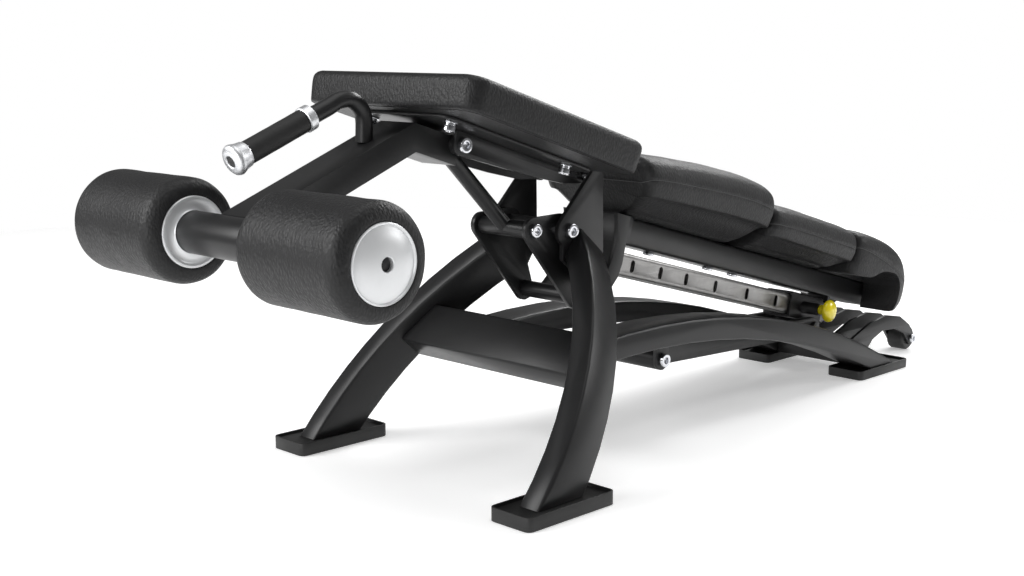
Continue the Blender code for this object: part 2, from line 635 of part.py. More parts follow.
def build_seat():
    low_corner, high_corner = (-SEAT_HALF_WIDTH, -SEAT_LENGTH), (SEAT_HALF_WIDTH, 0)
    outline = rounded_box(low_corner, high_corner, SEAT_CORNER, 5)
    pad = bar("seat_pad", outline, (0, SEAT_THICKNESS), SEAT_PLANE, SEAT, VINYL, 0.009, segments=3)
    for vertex in pad.data.vertices:
        share = 1 - vertex.co.z / SEAT_THICKNESS
        vertex.co.x *= 1 - SEAT_DRAW_IN * share / SEAT_HALF_WIDTH
    half = SEAT_PLATE_HALF
    outline = rounded_box((-half, SEAT_PLATE_A[0]), (half, SEAT_PLATE_A[1]), 0.020, 4)
    plate("seat_plate", [outline], SEAT_PLATE_B, SEAT_PLANE, SEAT, PAINT)
    under = SEAT_PLATE_B[0] - GAP
    places = [(side * SEAT_BOLT_X, along) for side in (-1, 1) for along in SEAT_BOLT_A]
    for number, (across, along) in enumerate(places, 1):
        matrix = SEAT_PLANE @ Matrix.Translation((across, along, 0))
        profile = [(0, under), (0.0085, under), (0.0085, under - 0.0079), (0.0045, under - 0.0079)]
        profile += [(0.0045, under - 0.004), (0, under - 0.004)]
        turned(f"seat_bolt_{number}", profile, matrix, SEAT, CHROME, 12)

    front = local(SEAT_PLANE, STRUT_HIGH_PIVOT)
    rear = local(SEAT_PLANE, SEAT_PIVOT)
    outline = arc(front, 0.0160, 180, 280, 6)
    outline += [(-0.100, -0.034), (-0.030, -0.028)]
    outline += arc(rear, 0.0155, 255, 500, 12)
    outline += [(-0.0010, under), (front[0] - 0.0160, under)]
    holes = [circle(front, BOLT_RADIUS + GAP), circle(rear, SEAT_SHAFT_RADIUS + RUNNING_GAP)]
    for side, hand in ((-1, "left"), (1, "right")):
        ends = ordered(side, SEAT_BRACKET_X)
        plate(f"seat_bracket_{hand}", [outline, *holes], ends, SEAT_SIDE, SEAT, PAINT)
    pivot_bolt("roller_arm_pivot_bolt", STRUT_HIGH_PIVOT, SEAT_BRACKET_X[1] + GAP, SEAT)


def strut_axis():
    """The strut's length, and a matrix with local Z along it from the high pivot."""
    start, end = Vector((0, *STRUT_HIGH_PIVOT)), Vector((0, *STRUT_LOW_PIVOT))
    run = end - start
    turn = run.to_track_quat("Z", "Y").to_matrix().to_4x4()
    return run.length, Matrix.Translation(start) @ turn


def build_strut():
    """The round strut between its two sleeves, which carries the roller arm."""
    high_end, low_end = SEAT_BRACKET_X[0] - GAP, CRANK_X[0] - 3 * GAP
    strut = rod("strut", STRUT_HIGH_PIVOT, (-high_end, high_end), 0.014, ARM, PAINT, steps=24)
    low_sleeve = rod(
        "strut_low_sleeve", STRUT_LOW_PIVOT, (-low_end, low_end), SLEEVE_RADIUS, ARM, PAINT, steps=24
    )
    combine(strut, low_sleeve)
    length, along = strut_axis()
    link = [(0, length - 0.001), (0.0125, length - 0.001), (0.0125, 0.001), (0, 0.001)]
    combine(strut, turned("strut_tube", link, along, ARM, PAINT, 20))
    bore = BOLT_RADIUS + RUNNING_GAP
    for name, place in (("strut_high_bore", STRUT_HIGH_PIVOT), ("strut_low_bore", STRUT_LOW_PIVOT)):
        combine(strut, rod(name, place, (-0.1, 0.1), bore, ARM, PAINT, steps=24), "DIFFERENCE")


def build_arm():
    """The roller arm under the seat's front, its lifting handle, and the rollers on their axle."""
    slope = math.tan(ARM_SLOPE)
    square = STOCK / math.cos(ARM_SLOPE)
    cope = arc(ROLLER_PLACE, AXLE_RADII[0] + GAP, 81.9, -5.1, 8)
    turn = (ARM_TURN_Y, ARM_TOP_HEIGHT + slope * ARM_TURN_Y)
    fall = -math.tan(SEAT_TILT)
    depth = STOCK / math.cos(SEAT_TILT)
    low_y = (turn[1] - fall * ARM_TURN_Y - depth - ARM_TOP_HEIGHT + square) / (slope - fall)
    end_y = STRUT_HIGH_PIVOT[0]
    end_z = turn[1] + fall * (end_y - ARM_TURN_Y)
    outline = [*cope, (low_y, ARM_TOP_HEIGHT - square + slope * low_y)]
    outline += [(end_y, end_z - depth), (end_y, end_z), turn]
    arm = bar("roller_arm", outline, (-ARM_HALF, ARM_HALF), SIDEWAYS, ARM, PAINT)
    room = rod("sleeve_room", STRUT_HIGH_PIVOT, (-0.1, 0.1), 0.014 + GAP, ARM, PAINT)
    combine(arm, room, "DIFFERENCE")
    along = strut_axis()[1]
    space = [(0, 0.08), (0.0125 + GAP, 0.08), (0.0125 + GAP, 0), (0, 0)]
    combine(arm, turned("strut_room", space, along, ARM, PAINT, 20), "DIFFERENCE")

    middle, shaft, tip = AXLE_RADII
    inner, outer, far = AXLE_ENDS
    profile = [
        (0, far), (tip, far), (tip, outer), (shaft, outer), (shaft, inner), (middle, inner), (middle, -inner),
        (shaft, -inner), (shaft, -outer), (tip, -outer), (tip, -far), (0, -far),
    ]
    turned("roller_axle", profile, crosswise(ROLLER_PLACE), ARM, PAINT, ROLLER_STEPS)
    build_handle()
    for side, hand in ((-1, "left"), (1, "right")):
        build_roller(side, hand)


def build_handle():
    curve = bpy.data.curves.new("handle_rod", "CURVE")
    curve.dimensions = "3D"
    curve.bevel_depth = HANDLE_RADIUS
    curve.bevel_resolution = 2
    curve.use_fill_caps = True
    spline = curve.splines.new("POLY")
    spline.points.add(len(HANDLE_LINE) - 1)
    for point, (y, z) in zip(spline.points, HANDLE_LINE):
        point.co = (0, y, z, 1)
    work = bmesh.new()
    work.from_mesh(curve_mesh(curve))
    bmesh.ops.remove_doubles(work, verts=work.verts, dist=1e-5)
    everything = list(work.verts) + list(work.edges) + list(work.faces)
    place = (0, 0, ARM_TOP_HEIGHT + GAP)
    down = (0, math.tan(ARM_SLOPE), -1)
    bmesh.ops.bisect_plane(work, geom=everything, plane_co=place, plane_no=down, clear_outer=True, dist=1e-6)
    bmesh.ops.holes_fill(work, edges=[edge for edge in work.edges if edge.is_boundary], sides=0)
    add("handle_rod", to_mesh("handle_rod", work), Matrix.Identity(4), ARM, PAINT)

    tip = Vector((0, *HANDLE_LINE[-1]))
    way = tip - Vector((0, *HANDLE_LINE[-2]))
    along = Matrix.Translation(tip) @ way.to_track_quat("Z", "Y").to_matrix().to_4x4()
    inner = HANDLE_RADIUS + GAP
    low = 0.008 - END_CAP_LENGTH
    cap = [
        (0, 0.0060), (0.008, 0.0060), (0.010, 0.0080), (0.019, 0.0070), (END_CAP_RADIUS, 0.0030),
        (END_CAP_RADIUS, -0.0010), (0.0180, low), (inner, low), (inner, GAP), (0, GAP),
    ]
    turned("handle_end_cap", cap, along, ARM, CHROME)
    top = low - GAP
    foot_end = top - GRIP_LENGTH
    soft = 0.0015
    grip = [
        (GRIP_RADIUS - soft, top), (GRIP_RADIUS, top - soft), (GRIP_RADIUS, foot_end + soft),
        (GRIP_RADIUS - soft, foot_end), (inner, foot_end), (inner, top),
    ]
    turned("handle_grip", grip, along, ARM, RUBBER, ring=True)
    radius, length = COLLAR
    high = foot_end - GAP
    collar = [(radius, high), (radius, high - length), (inner, high - length), (inner, high)]
    turned("handle_collar", collar, along, ARM, CHROME, ring=True)


def build_roller(side, hand):
    """A foam roll with a silver cap in a recess at each end."""
    low, high = ROLLER_X
    matrix = crosswise(ROLLER_PLACE)

    def at_side(profile):
        if side > 0:
            return profile
        return [(radius, -along) for radius, along in reversed(profile)]

    bore = AXLE_RADII[1] + RUNNING_GAP
    edge = FOAM_RADIUS - FOAM_SHOULDER
    foam = [(CAP_RADIUS + GAP, high - CAP_DEPTH), (CAP_RADIUS + GAP, high - 0.001)]
    foam += [(radius, along) for along, radius in arc((high - FOAM_SHOULDER, edge), FOAM_SHOULDER, 0, 90, 5)]
    foam += [(radius, along) for along, radius in arc((low + FOAM_SHOULDER, edge), FOAM_SHOULDER, 90, 180, 5)]
    foam += [(CAP_RADIUS + GAP, low + 0.001), (CAP_RADIUS + GAP, low + CAP_DEPTH), (bore, low + CAP_DEPTH)]
    foam += [(bore, high - CAP_DEPTH)]
    turned(f"roller_foam_{hand}", at_side(foam), matrix, ROLLER, RUBBER, ROLLER_STEPS, ring=True)
    base = high - CAP_DEPTH + GAP
    hole = AXLE_RADII[2] + RUNNING_GAP
    cap = [
        (hole, high + 0.0030), (0.030, high + 0.0026), (CAP_RADIUS - 0.002, high + 0.0004),
        (CAP_RADIUS, high - 0.0010), (CAP_RADIUS, base), (hole, base),
    ]
    turned(f"roller_outer_cap_{hand}", at_side(cap), matrix, ROLLER, SILVER, ROLLER_STEPS, ring=True)
    base = low + CAP_DEPTH - GAP
    cap = [(CAP_RADIUS, base), (CAP_RADIUS, low + 0.0005), (CAP_RADIUS - 0.0015, low - 0.0008)]
    cap += [(bore, low - 0.0008), (bore, base)]
    turned(f"roller_inner_cap_{hand}", at_side(cap), matrix, ROLLER, SILVER, ROLLER_STEPS, ring=True)


def cushion(name, sections):
    """A padded form lofted through closed sections of (X, A, B) points."""
    work = bmesh.new()
    rings = [[work.verts.new(point) for point in section] for section in sections]
    for ring, after in zip(rings, rings[1:]):
        for number in range(len(ring)):
            following = (number + 1) % len(ring)
            work.faces.new((ring[number], ring[following], after[following], after[number]))
    work.faces.new(rings[0])
    work.faces.new(rings[-1])
    return add(name, to_mesh(name, work), BACK_PLANE, BACKREST, VINYL)


def pad_section(along, lean, half, crown, seam, base, under):
    """Half of a pad's section from the crown round the side to the base, and its mirror."""
    points = [
        (0, crown), (half * 0.40, crown - 0.0005), (half * 0.72, crown - 0.002), (half * 0.90, crown - 0.008),
        (half * 0.98, crown - 0.018), (half, (crown + seam) / 2), (half, seam + 0.004), (half * 0.985, seam),
        (half, seam - 0.006), (half * 0.97, seam - 0.022), (half * 0.84, seam - 0.036), (under + 0.012, base + 0.006),
        (under, base), (0, base),
    ]
    points += [(-x, height) for x, height in reversed(points[1:-1])]
    return [(x, along - lean * (height - base), height) for x, height in points]


def build_backrest_pads():
    base = TUBE_B[1] + GAP
    lower = (
        (0.149, 0.46, 0.100, 0.1350, 0.100, 0.040), (0.153, 0.46, 0.117, 0.1470, 0.106, 0.048),
        (0.165, 0.40, 0.124, 0.1530, 0.112, 0.052), (0.230, 0.15, 0.127, 0.1640, 0.120, 0.055),
        (0.385, 0.00, 0.127, 0.1760, 0.128, 0.055), (0.470, 0.00, 0.124, 0.1700, 0.124, 0.055),
        (0.488, 0.00, 0.119, 0.1640, 0.120, 0.052), (0.495, 0.00, 0.106, 0.1520, 0.114, 0.044),
    )
    middle = (
        (0.4985, 0, 0.106, 0.1300, 0.096, 0.044), (0.506, 0, 0.119, 0.1400, 0.099, 0.052),
        (0.530, 0, 0.125, 0.1440, 0.101, 0.055), (0.650, 0, 0.126, 0.1450, 0.101, 0.055),
        (0.770, 0, 0.125, 0.1440, 0.101, 0.055), (0.790, 0, 0.119, 0.1400, 0.099, 0.052),
        (0.7965, 0, 0.106, 0.1300, 0.096, 0.044),
    )
    for name, rows in (("lower_back_pad", lower), ("middle_back_pad", middle)):
        sections = []
        for along, lean, half, crown, seam, under in rows:
            sections.append(pad_section(along, lean, half, crown, seam, base, under))
        cushion(name, sections)
    build_head_pad()


def build_head_pad():
    """The head pad hangs below the tube's end, which stands in a pocket of its underside."""
    rows = (
        (0.8000, 0.106, 0.1300, 0.0600), (0.8070, 0.118, 0.1390, 0.0540), (0.8300, 0.124, 0.1420, 0.0440),
        (0.8800, 0.125, 0.1420, 0.0280), (0.9400, 0.124, 0.1370, 0.0060), (0.9750, 0.122, 0.1250, -0.0020),
        (1.0000, 0.119, 0.1080, 0.0020), (1.0200, 0.112, 0.0850, 0.0180), (1.0310, 0.098, 0.0660, 0.0380),
    )
    sections = []
    for along, half, crown, low in rows:
        deep = crown - low
        points = [
            (0, crown), (half * 0.40, crown - deep * 0.005), (half * 0.72, crown - deep * 0.02),
            (half * 0.90, crown - deep * 0.08), (half * 0.98, crown - deep * 0.18), (half, crown - deep * 0.35),
            (half, crown - deep * 0.60), (half * 0.98, crown - deep * 0.80), (half * 0.92, crown - deep * 0.94),
            (half * 0.80, low), (half * 0.50, low), (half * 0.25, low), (0, low),
        ]
        points += [(-x, height) for x, height in reversed(points[1:-1])]
        sections.append([(x, along, height) for x, height in points])
    pad = cushion("head_pad", sections)
    far = TUBE_A[1] + 0.001
    outline = [(0.78, -0.05), (far, -0.05), (far, TUBE_B[1] + GAP), (0.78, TUBE_B[1] + GAP)]
    pocket = bar("head_pad_pocket", outline, (-0.075, 0.075), BACK_SIDE, BACKREST, VINYL)
    combine(pad, pocket, "DIFFERENCE")


build_front_frame()
build_rear_frame()
build_backrest_frame()
build_slider()
build_seat()
build_strut()
build_arm()
build_backrest_pads()
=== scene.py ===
"""Looks of the utility bench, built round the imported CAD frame. Metres, +Z up.

Bench coordinates run from the front feet's line, and every piece is moved by MID into the
frame's own coordinates. The soft pieces, the rollers' caps, the cranks, the seat bolts, the
handle and the knob are built here, in place of their plain CAD pieces.
"""

import json
import math

import bmesh
import bpy
from mathutils import Matrix, Vector, noise


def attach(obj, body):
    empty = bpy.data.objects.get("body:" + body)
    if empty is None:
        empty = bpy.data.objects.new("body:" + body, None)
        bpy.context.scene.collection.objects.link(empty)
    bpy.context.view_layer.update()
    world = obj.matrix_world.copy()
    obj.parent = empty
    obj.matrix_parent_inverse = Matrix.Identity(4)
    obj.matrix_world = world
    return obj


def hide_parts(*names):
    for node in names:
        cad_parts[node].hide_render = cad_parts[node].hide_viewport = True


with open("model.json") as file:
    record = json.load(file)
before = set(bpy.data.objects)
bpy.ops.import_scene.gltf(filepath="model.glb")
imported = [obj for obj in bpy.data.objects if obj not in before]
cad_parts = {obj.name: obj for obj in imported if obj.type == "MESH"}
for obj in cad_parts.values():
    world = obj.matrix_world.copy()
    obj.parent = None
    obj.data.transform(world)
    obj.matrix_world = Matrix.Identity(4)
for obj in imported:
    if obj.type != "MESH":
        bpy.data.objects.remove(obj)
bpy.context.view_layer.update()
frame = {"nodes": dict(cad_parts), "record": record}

# Places in bench coordinates
MID = 0.5561
SEAT_PIVOT = (0, 0.3645, 0.4575)
BACK_PIVOT = (0, 0.315, 0.3674)
ROLLER_AXLE = (0, -0.2593, 0.4035)
STRUT_PIVOT = (0, 0.2514, 0.3717)
TIE_CENTRE = (0, 0.350, 0.2548)
BACK_TILT = math.radians(15)
SEAT_TILT = math.radians(17.5)

SHIFT = Matrix.Translation((0, -MID, 0))
SIDEWAYS = Matrix(((0, 0, 1, 0), (1, 0, 0, 0), (0, 1, 0, 0), (0, 0, 0, 1)))
BACK_PLANE = SHIFT @ Matrix.Translation(BACK_PIVOT) @ Matrix.Rotation(-BACK_TILT, 4, "X")
SEAT_PLANE = SHIFT @ Matrix.Translation(SEAT_PIVOT) @ Matrix.Rotation(-SEAT_TILT, 4, "X")
ROLLER_PLANE = SHIFT @ Matrix.Translation(ROLLER_AXLE) @ SIDEWAYS

# Places on the backrest: X runs across it, A along it and B out of it, from its pivot
TUBE_TOP = 0.0523
CRANK_X = (0.0535, 0.0615)
KNOB_PLACE = (0, 0.781, -0.0285)

# Fineness of the meshes, softened edges and seams
ROUND = 96
PAD_STEPS = 5
SECTION_STEPS = 3
WELD_GAP = 0.00002
SHARP_ANGLE = math.radians(32)
BEVEL_ANGLE = math.radians(38)
EDGE = 0.0012
THIN_EDGE = 0.0006
PAD_EDGE = 0.005
STITCH_RADIUS = 0.00075
STITCH_DEPTH = 0.0009

# Name, place, target, size and power of each light
LIGHTS = (
    ("key", (-1.6, -3.2, 2.2), (0, -0.3, 0.35), (2.2, 1.8), 100),
    ("front", (0.9, -4.2, 0.9), (0.1, -0.4, 0.25), (1.4, 1.4), 40),
    ("side", (2.2, 2.6, 1.6), (0.2, -0.4, 0.3), (1.2, 1.0), 25),
    ("back", (-0.6, 3.4, 2.8), (0, 0, 0.4), (3.0, 1.0), 110),
    ("top", (0.4, -0.2, 3.4), (0, 0, 0.3), (2.0, 3.0), 30),
)
WORLD_SEEN = 1.0
WORLD_LIGHT = 0.20
FLOOR_RADIUS = 3.2
FLOOR_DROP = 0.0005
FLOOR_GLOW = 0.34

# Camera
CAMERA_PLACE = (1.5719, -1.8709, 0.6627)
CAMERA_AZIMUTH = 44.87
CAMERA_DROP = 9.946
CAMERA_LENS = 49.40
CAMERA_SENSOR = 36
CAMERA_REACH = 100


# ---------------------------------------------------------------- objects

def linked(name, data):
    """A new object in the scene."""
    made = bpy.data.objects.new(name, data)
    bpy.context.scene.collection.objects.link(made)
    return made


def final_mesh(obj):
    """The mesh of an object with its curve or its modifiers worked out."""
    bpy.context.view_layer.update()
    seen = obj.evaluated_get(bpy.context.evaluated_depsgraph_get())
    return bpy.data.meshes.new_from_object(seen)


# ---------------------------------------------------------------- materials

class Nodes:
    """A short way to add nodes to one material."""

    def __init__(self, name):
        self.material = bpy.data.materials.new(name)
        self.material.use_nodes = True
        self.tree = self.material.node_tree
        self.shader = self.tree.nodes["Principled BSDF"]
        self.coords = self.add("ShaderNodeTexCoord").outputs["Object"]
        self.normal = None

    def add(self, kind, **settings):
        node = self.tree.nodes.new(kind)
        for key, value in settings.items():
            setattr(node, key, value)
        return node

    def link(self, start, end):
        self.tree.links.new(start, end)

    def mapped(self, scale=(1, 1, 1), turn=0.0):
        node = self.add("ShaderNodeMapping")
        node.inputs["Rotation"].default_value = (turn, 0, 0)
        node.inputs["Scale"].default_value = scale
        self.link(self.coords, node.inputs["Vector"])
        return node.outputs["Vector"]

    def noise(self, vector, scale, detail=3.0, rough=0.55):
        node = self.add("ShaderNodeTexNoise")
        node.inputs["Scale"].default_value = scale
        node.inputs["Detail"].default_value = detail
        node.inputs["Roughness"].default_value = rough
        self.link(vector, node.inputs["Vector"])
        return node

    def cloud(self, scale, detail):
        """Noise that is the same along every axis."""
        return self.noise(self.mapped(), scale, detail).outputs["Fac"]

    def spread(self, value, low, high, start=0.3, end=0.7):
        node = self.add("ShaderNodeMapRange")
        node.inputs["From Min"].default_value = start
        node.inputs["From Max"].default_value = end
        node.inputs["To Min"].default_value = low
        node.inputs["To Max"].default_value = high
        self.link(value, node.inputs["Value"])
        return node.outputs["Result"]

    def bump(self, height, strength, distance):
        node = self.add("ShaderNodeBump")
        node.inputs["Strength"].default_value = strength
        node.inputs["Distance"].default_value = distance
        self.link(height, node.inputs["Height"])
        if self.normal:
            self.link(self.normal, node.inputs["Normal"])
        self.normal = node.outputs["Normal"]

    def cells(self, scale, wander, stretch=(1, 1, 1)):
        """Pebbled leather cells whose borders wander."""
        base = self.mapped(stretch)
        drift = self.noise(base, scale * 0.55, 2.0).outputs["Color"]
        shifted = self.add("ShaderNodeVectorMath", operation="MULTIPLY_ADD")
        shifted.inputs[1].default_value = (wander, wander, wander)
        self.link(drift, shifted.inputs[0])
        self.link(base, shifted.inputs[2])
        voronoi = self.add("ShaderNodeTexVoronoi", feature="SMOOTH_F1")
        voronoi.inputs["Scale"].default_value = scale
        voronoi.inputs["Smoothness"].default_value = 0.35
        self.link(shifted.outputs["Vector"], voronoi.inputs["Vector"])
        return voronoi.outputs["Distance"]

    def tint(self, value, dark, light):
        """A colour that varies between two over the surface."""
        ramp = self.add("ShaderNodeValToRGB")
        for stop, place, colour in zip(ramp.color_ramp.elements, (0.3, 0.75), (dark, light)):
            stop.position = place
            stop.color = (*colour, 1)
        self.link(value, ramp.inputs["Fac"])
        self.link(ramp.outputs["Color"], self.shader.inputs["Base Color"])

    def done(self, **sockets):
        for name, value in sockets.items():
            self.shader.inputs[name.replace("_", " ")].default_value = value
        if self.normal:
            self.link(self.normal, self.shader.inputs["Normal"])
        return self.material


def grey(level, blue=0.0005):
    """A grey, with a touch of blue unless that is 0."""
    return (level, level, level + blue)


def paint(name, dark, light, low, high):
    """Satin powder coat with a fine orange peel."""
    made = Nodes(name)
    cloud = made.cloud(9, 4)
    made.tint(cloud, dark, light)
    made.link(made.spread(cloud, low, high), made.shader.inputs["Roughness"])
    made.bump(made.cloud(620, 2), 0.07, 0.0004)
    return made.done(IOR=1.42)


def grained(name, dark, light, low, high, scale, depth, stretch=(1, 1, 1)):
    """Grained vinyl or foam skin: wandering cells, fine pores and a slow unevenness."""
    made = Nodes(name)
    cloud = made.cloud(14, 4)
    cells = made.cells(scale, 0.0045, stretch)
    made.tint(cloud, dark, light)
    made.link(made.spread(cells, low, high, 0.1, 0.8), made.shader.inputs["Roughness"])
    made.bump(made.cloud(42, 2), 0.20, 0.0015)
    made.bump(cells, depth, 0.0013)
    made.bump(made.cloud(1500, 1), 0.10, 0.0003)
    return made.done(IOR=1.40)


def metal(name, dark, light, low, high, stretch=(1, 1, 1), turn=0.0, depth=0.05):
    """Bare metal with fine scratches along one way."""
    made = Nodes(name)
    made.tint(made.cloud(30, 3), dark, light)
    lines = made.noise(made.mapped(stretch, turn), 900, 3, 0.7).outputs["Fac"]
    made.link(made.spread(lines, low, high), made.shader.inputs["Roughness"])
    made.bump(lines, depth, 0.0002)
    return made.done(Metallic=1.0)


def moulded(name, dark, light, low, high, scale=500, depth=0.05, coat=0.0, metallic=0.0):
    """Moulded plastic or rubber with a fine even texture."""
    made = Nodes(name)
    cloud = made.cloud(22, 4)
    made.tint(cloud, dark, light)
    made.link(made.spread(cloud, low, high), made.shader.inputs["Roughness"])
    made.bump(made.cloud(scale, 3), depth, 0.0005)
    return made.done(Coat_Weight=coat, Metallic=metallic)


# Each has its name, darkest and lightest colour, and least and greatest roughness
PAINT = paint("bench_paint", grey(0.010), grey(0.014), 0.34, 0.42)
VINYL = grained(
    "bench_vinyl", grey(0.008), grey(0.012), 0.42, 0.54, scale=290, depth=0.50, stretch=(1, 1, 0.6)
)
PLAIN_VINYL = grained(
    "bench_plain_vinyl", grey(0.013), grey(0.018), 0.40, 0.48, scale=420, depth=0.20
)
FOAM = grained(
    "bench_foam", grey(0.010), grey(0.015), 0.44, 0.56, scale=270, depth=0.55, stretch=(1, 1, 0.6)
)
GRIP = moulded("bench_grip", grey(0.009, 0), grey(0.013, 0), 0.52, 0.66, scale=900, depth=0.15)
RUBBER = moulded("bench_rubber", grey(0.008, 0), grey(0.012, 0), 0.42, 0.55, scale=700, depth=0.10)
CHROME = metal("bench_chrome", (0.66, 0.67, 0.70), (0.74, 0.75, 0.78), 0.12, 0.20)
SATIN = metal("bench_satin_chrome", (0.80, 0.81, 0.83), (0.86, 0.87, 0.89), 0.38, 0.46)
SILVER = moulded(
    "bench_silver", (0.74, 0.75, 0.76), (0.80, 0.81, 0.82), 0.30, 0.38,
    scale=900, depth=0.03, metallic=0.45,
)
BRUSHED = metal(
    "bench_brushed", (0.27, 0.265, 0.26), (0.36, 0.355, 0.35), 0.26, 0.44,
    stretch=(1, 0.012, 1), turn=BACK_TILT, depth=0.12,
)
YELLOW = moulded(
    "bench_yellow", (0.93, 0.76, 0.010), (0.98, 0.82, 0.012), 0.16, 0.24,
    scale=400, depth=0.02, coat=0.6,
)
THREAD = moulded(
    "bench_thread", grey(0.050, 0.001), grey(0.070, 0.001), 0.55, 0.70, scale=900, depth=0.2
)
DARK = moulded("bench_dark_plug", grey(0.020, 0), grey(0.028, 0), 0.45, 0.55)


# ---------------------------------------------------------------- mesh helpers

def smooth_group():
    """Geometry nodes that shade smooth, with sharp edges kept sharp."""
    tree = bpy.data.node_groups.new("shade_by_angle", "GeometryNodeTree")
    tree.interface.new_socket("Geometry", in_out="INPUT", socket_type="NodeSocketGeometry")
    tree.interface.new_socket("Geometry", in_out="OUTPUT", socket_type="NodeSocketGeometry")
    start = tree.nodes.new("NodeGroupInput")
    end = tree.nodes.new("NodeGroupOutput")
    angle = tree.nodes.new("GeometryNodeInputMeshEdgeAngle")
    compare = tree.nodes.new("FunctionNodeCompare")
    compare.data_type = "FLOAT"
    compare.operation = "GREATER_THAN"
    compare.inputs[1].default_value = SHARP_ANGLE
    faces = tree.nodes.new("GeometryNodeSetShadeSmooth")
    faces.domain = "FACE"
    edges = tree.nodes.new("GeometryNodeSetShadeSmooth")
    edges.domain = "EDGE"
    edges.inputs["Shade Smooth"].default_value = False
    tree.links.new(angle.outputs["Unsigned Angle"], compare.inputs[0])
    tree.links.new(compare.outputs[0], edges.inputs["Selection"])
    tree.links.new(start.outputs[0], faces.inputs["Geometry"])
    tree.links.new(faces.outputs[0], edges.inputs["Geometry"])
    tree.links.new(edges.outputs[0], end.inputs[0])
    return tree


SMOOTH = smooth_group()


def soften(obj, width):
    """Joins split corners, rounds sharp edges a little and shades by angle."""
    weld = obj.modifiers.new("weld", "WELD")
    weld.merge_threshold = WELD_GAP
    if width:
        bevel = obj.modifiers.new("bevel", "BEVEL")
        bevel.width = width
        bevel.segments = 2
        bevel.limit_method = "ANGLE"
        bevel.angle_limit = BEVEL_ANGLE
    group = obj.modifiers.new("shade", "NODES")
    group.node_group = SMOOTH


def piece(name, mesh, body, material, matrix=None, smooth=True):
    """Links a mesh as a piece of the bench that rides on a body."""
    mesh.name = name
    mesh.materials.clear()
    mesh.materials.append(material)
    if matrix:
        mesh.transform(matrix)
    if smooth:
        mesh.shade_smooth()
    made = linked(name, mesh)
    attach(made, body)
    return made


def to_mesh(name, work):
    """The mesh of a bmesh, with its faces turned outward."""
    bmesh.ops.recalc_face_normals(work, faces=work.faces)
    mesh = bpy.data.meshes.new(name)
    work.to_mesh(mesh)
    work.free()
    return mesh


def curve_points(points, steps, closed=False):
    """Points on a smooth curve through the given ones, which may have any number of values."""
    last = len(points) - 1
    found = []
    for span in range(last + 1 if closed else last):
        around = []
        for index in range(span - 1, span + 3):
            around.append(points[index % len(points) if closed else min(max(index, 0), last)])
        for step in range(steps):
            t = step / steps
            found.append(tuple(
                0.5 * (
                    2 * b + (c - a) * t + (2 * a - 5 * b + 4 * c - d) * t**2
                    + (3 * b - a - 3 * c + d) * t**3
                )
                for a, b, c, d in zip(*around)
            ))
    if not closed:
        found.append(tuple(points[-1]))
    return found


def loft(name, rings):
    """A closed skin through rings of the same number of points."""
    work = bmesh.new()
    made = [[work.verts.new(point) for point in ring] for ring in rings]
    for ring, after in zip(made, made[1:]):
        for number in range(len(ring)):
            following = (number + 1) % len(ring)
            work.faces.new((ring[number], ring[following], after[following], after[number]))
    work.faces.new(made[0])
    work.faces.new(made[-1])
    return to_mesh(name, work)


def turn_mesh(name, profile, steps=ROUND, closed=True):
    """A turned form from (radius, place along Z) points. A point of no radius closes it there."""
    work = bmesh.new()
    rings = []
    for radius, along in profile:
        if radius == 0:
            rings.append([work.verts.new((0, 0, along))])
            continue
        ring = []
        for step in range(steps):
            angle = 2 * math.pi * step / steps
            ring.append(work.verts.new((radius * math.cos(angle), radius * math.sin(angle), along)))
        rings.append(ring)
    pairs = list(zip(rings, rings[1:]))
    if closed:
        pairs.append((rings[-1], rings[0]))
    for ring, after in pairs:
        if len(ring) == 1 and len(after) == 1:
            continue
        for step in range(steps):
            following = (step + 1) % steps
            if len(ring) == 1:
                work.faces.new((ring[0], after[following], after[step]))
            elif len(after) == 1:
                work.faces.new((ring[step], ring[following], after[0]))
            else:
                work.faces.new((ring[step], ring[following], after[following], after[step]))
    return to_mesh(name, work)


def arc(centre, radius, start, end, steps=8):
    """Points on a circle from one angle to another, in degrees."""
    points = []
    for step in range(steps + 1):
        angle = math.radians(start + (end - start) * step / steps)
        points.append((centre[0] + radius * math.cos(angle), centre[1] + radius * math.sin(angle)))
    return points


def circle(centre, radius, steps):
    return arc(centre, radius, 0, 360 - 360 / steps, steps - 1)


def unevenness(mesh, amount, scale, seed):
    """Moves vertices along their normals by smooth noise, the same way each run."""
    shifts = []
    for vertex in mesh.vertices:
        place = Vector(vertex.co) * scale + Vector((seed, seed * 2, 0))
        shifts.append(vertex.normal * (noise.noise(place) * amount))
    for vertex, shift in zip(mesh.vertices, shifts):
        vertex.co += shift


def add_spline(curve, points, closed):
    """Adds a line through the points to a curve."""
    spline = curve.splines.new("POLY")
    spline.points.add(len(points) - 1)
    for point, place in zip(spline.points, points):
        point.co = (*place, 1)
    spline.use_cyclic_u = closed


def curve_mesh(curve):
    """The mesh that a curve makes."""
    guide = linked("guide", curve)
    mesh = final_mesh(guide)
    bpy.data.objects.remove(guide, do_unlink=True)
    return mesh


def wire(name, points, radius, body, material, matrix, closed=False, resolution=3):
    """A round tube along points, as a mesh."""
    curve = bpy.data.curves.new(name, "CURVE")
    curve.dimensions = "3D"
    curve.bevel_depth = radius
    curve.bevel_resolution = resolution
    curve.use_fill_caps = True
    add_spline(curve, points, closed)
    return piece(name, curve_mesh(curve), body, material, matrix)


# ---------------------------------------------------------------- carried-over CAD pieces

